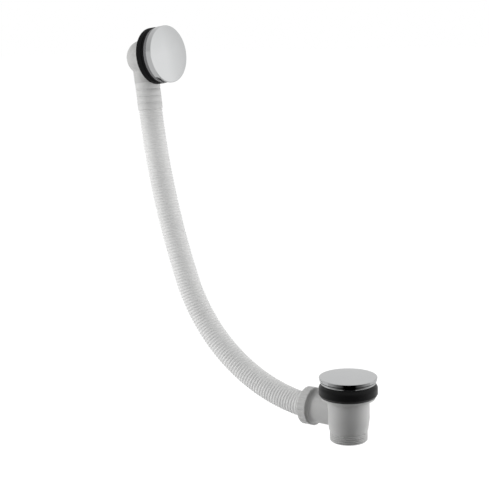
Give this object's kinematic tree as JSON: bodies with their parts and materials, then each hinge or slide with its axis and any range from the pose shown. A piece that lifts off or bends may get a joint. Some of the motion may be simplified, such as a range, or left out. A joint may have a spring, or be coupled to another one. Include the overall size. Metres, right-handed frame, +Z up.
{
  "type": "bath waste and overflow",
  "caption": "Bath waste with a push plug on a moulded tee, joined by a ribbed hose to an overflow elbow with a round cover. It clamps to a bath's floor and end wall.",
  "frame": {"origin": "centre of the bath's waste hole, on the plane where the two waste washers clamp the bath floor", "axes": "+Z up along the plug's travel, -X towards the overflow, Y across the part, whose middle plane is Y = 0"},
  "size_m": [0.3713, 0.0754, 0.524],
  "materials": {
    "chrome_plate": "polished",
    "brass": "turned",
    "black_rubber": "satin",
    "pale_plastic": "satin",
    "hose_plastic": "satin",
    "grey_plastic": "satin",
    "acetal": "smooth",
    "steel": "plain"
  },
  "bodies": {
    "waste": {"click_spring": "steel", "cartridge_sleeve": "brass", "cartridge_base": "brass", "waste_flange": "chrome_plate", "flange_washer": "black_rubber", "bath_washer": "black_rubber", "waste_body": "pale_plastic", "union_nut": "pale_plastic", "slip_ring": "acetal", "hose_seal": "black_rubber", "overflow_hose": "hose_plastic", "overflow_elbow": "pale_plastic", "elbow_insert": "brass", "overflow_gasket": "black_rubber", "overflow_washer": "black_rubber", "overflow_bush": "grey_plastic", "overflow_screw": "steel", "cover_ring": "black_rubber", "overflow_cover": "chrome_plate"},
    "plug": {"plug_cap": "chrome_plate", "plug_seal": "black_rubber", "plug_stem": "brass", "latch_ring": "acetal"}
  },
  "joints": [
    {"name": "plug_slide", "type": "slide", "parent": "waste", "child": "plug", "axis": [0, 0, 1], "range_m": [0, 0.009], "deforming": ["click_spring"]}
  ]
}
